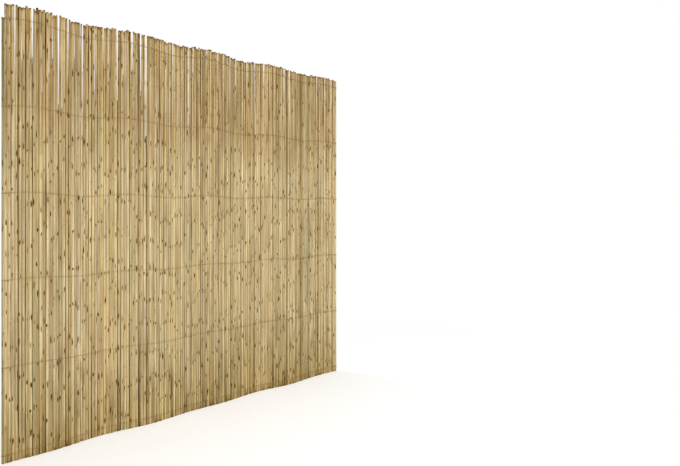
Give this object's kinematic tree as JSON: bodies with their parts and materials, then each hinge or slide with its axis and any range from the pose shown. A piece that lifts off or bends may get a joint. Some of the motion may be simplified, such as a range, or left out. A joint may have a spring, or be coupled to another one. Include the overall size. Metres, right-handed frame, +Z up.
{
  "type": "reed screen",
  "caption": "Square garden screen of upright dry reeds held side by side by rows of paired binding wire, with a straight foot and uneven cut tops.",
  "frame": {"origin": "on the ground below the middle of the mat, on the mat's middle line", "axes": "+X along the mat from its left end to its right, +Z up the reeds, -Y out of the front face"},
  "size_m": [1.8037, 0.0421, 1.8102],
  "materials": {
    "reed": "dry straw-coloured reed, matt with a faint sheen, dark flecks at the joints",
    "wire": "thin binding wire, dull and weathered to olive brown"
  },
  "bodies": {
    "root": {"reed_mat": "reed", "row_1_upper_wire": "wire", "row_1_lower_wire": "wire", "row_2_upper_wire": "wire", "row_2_lower_wire": "wire", "row_3_upper_wire": "wire", "row_3_lower_wire": "wire", "row_4_upper_wire": "wire", "row_4_lower_wire": "wire", "row_5_upper_wire": "wire", "row_5_lower_wire": "wire", "row_6_upper_wire": "wire", "row_6_lower_wire": "wire"}
  },
  "joints": []
}
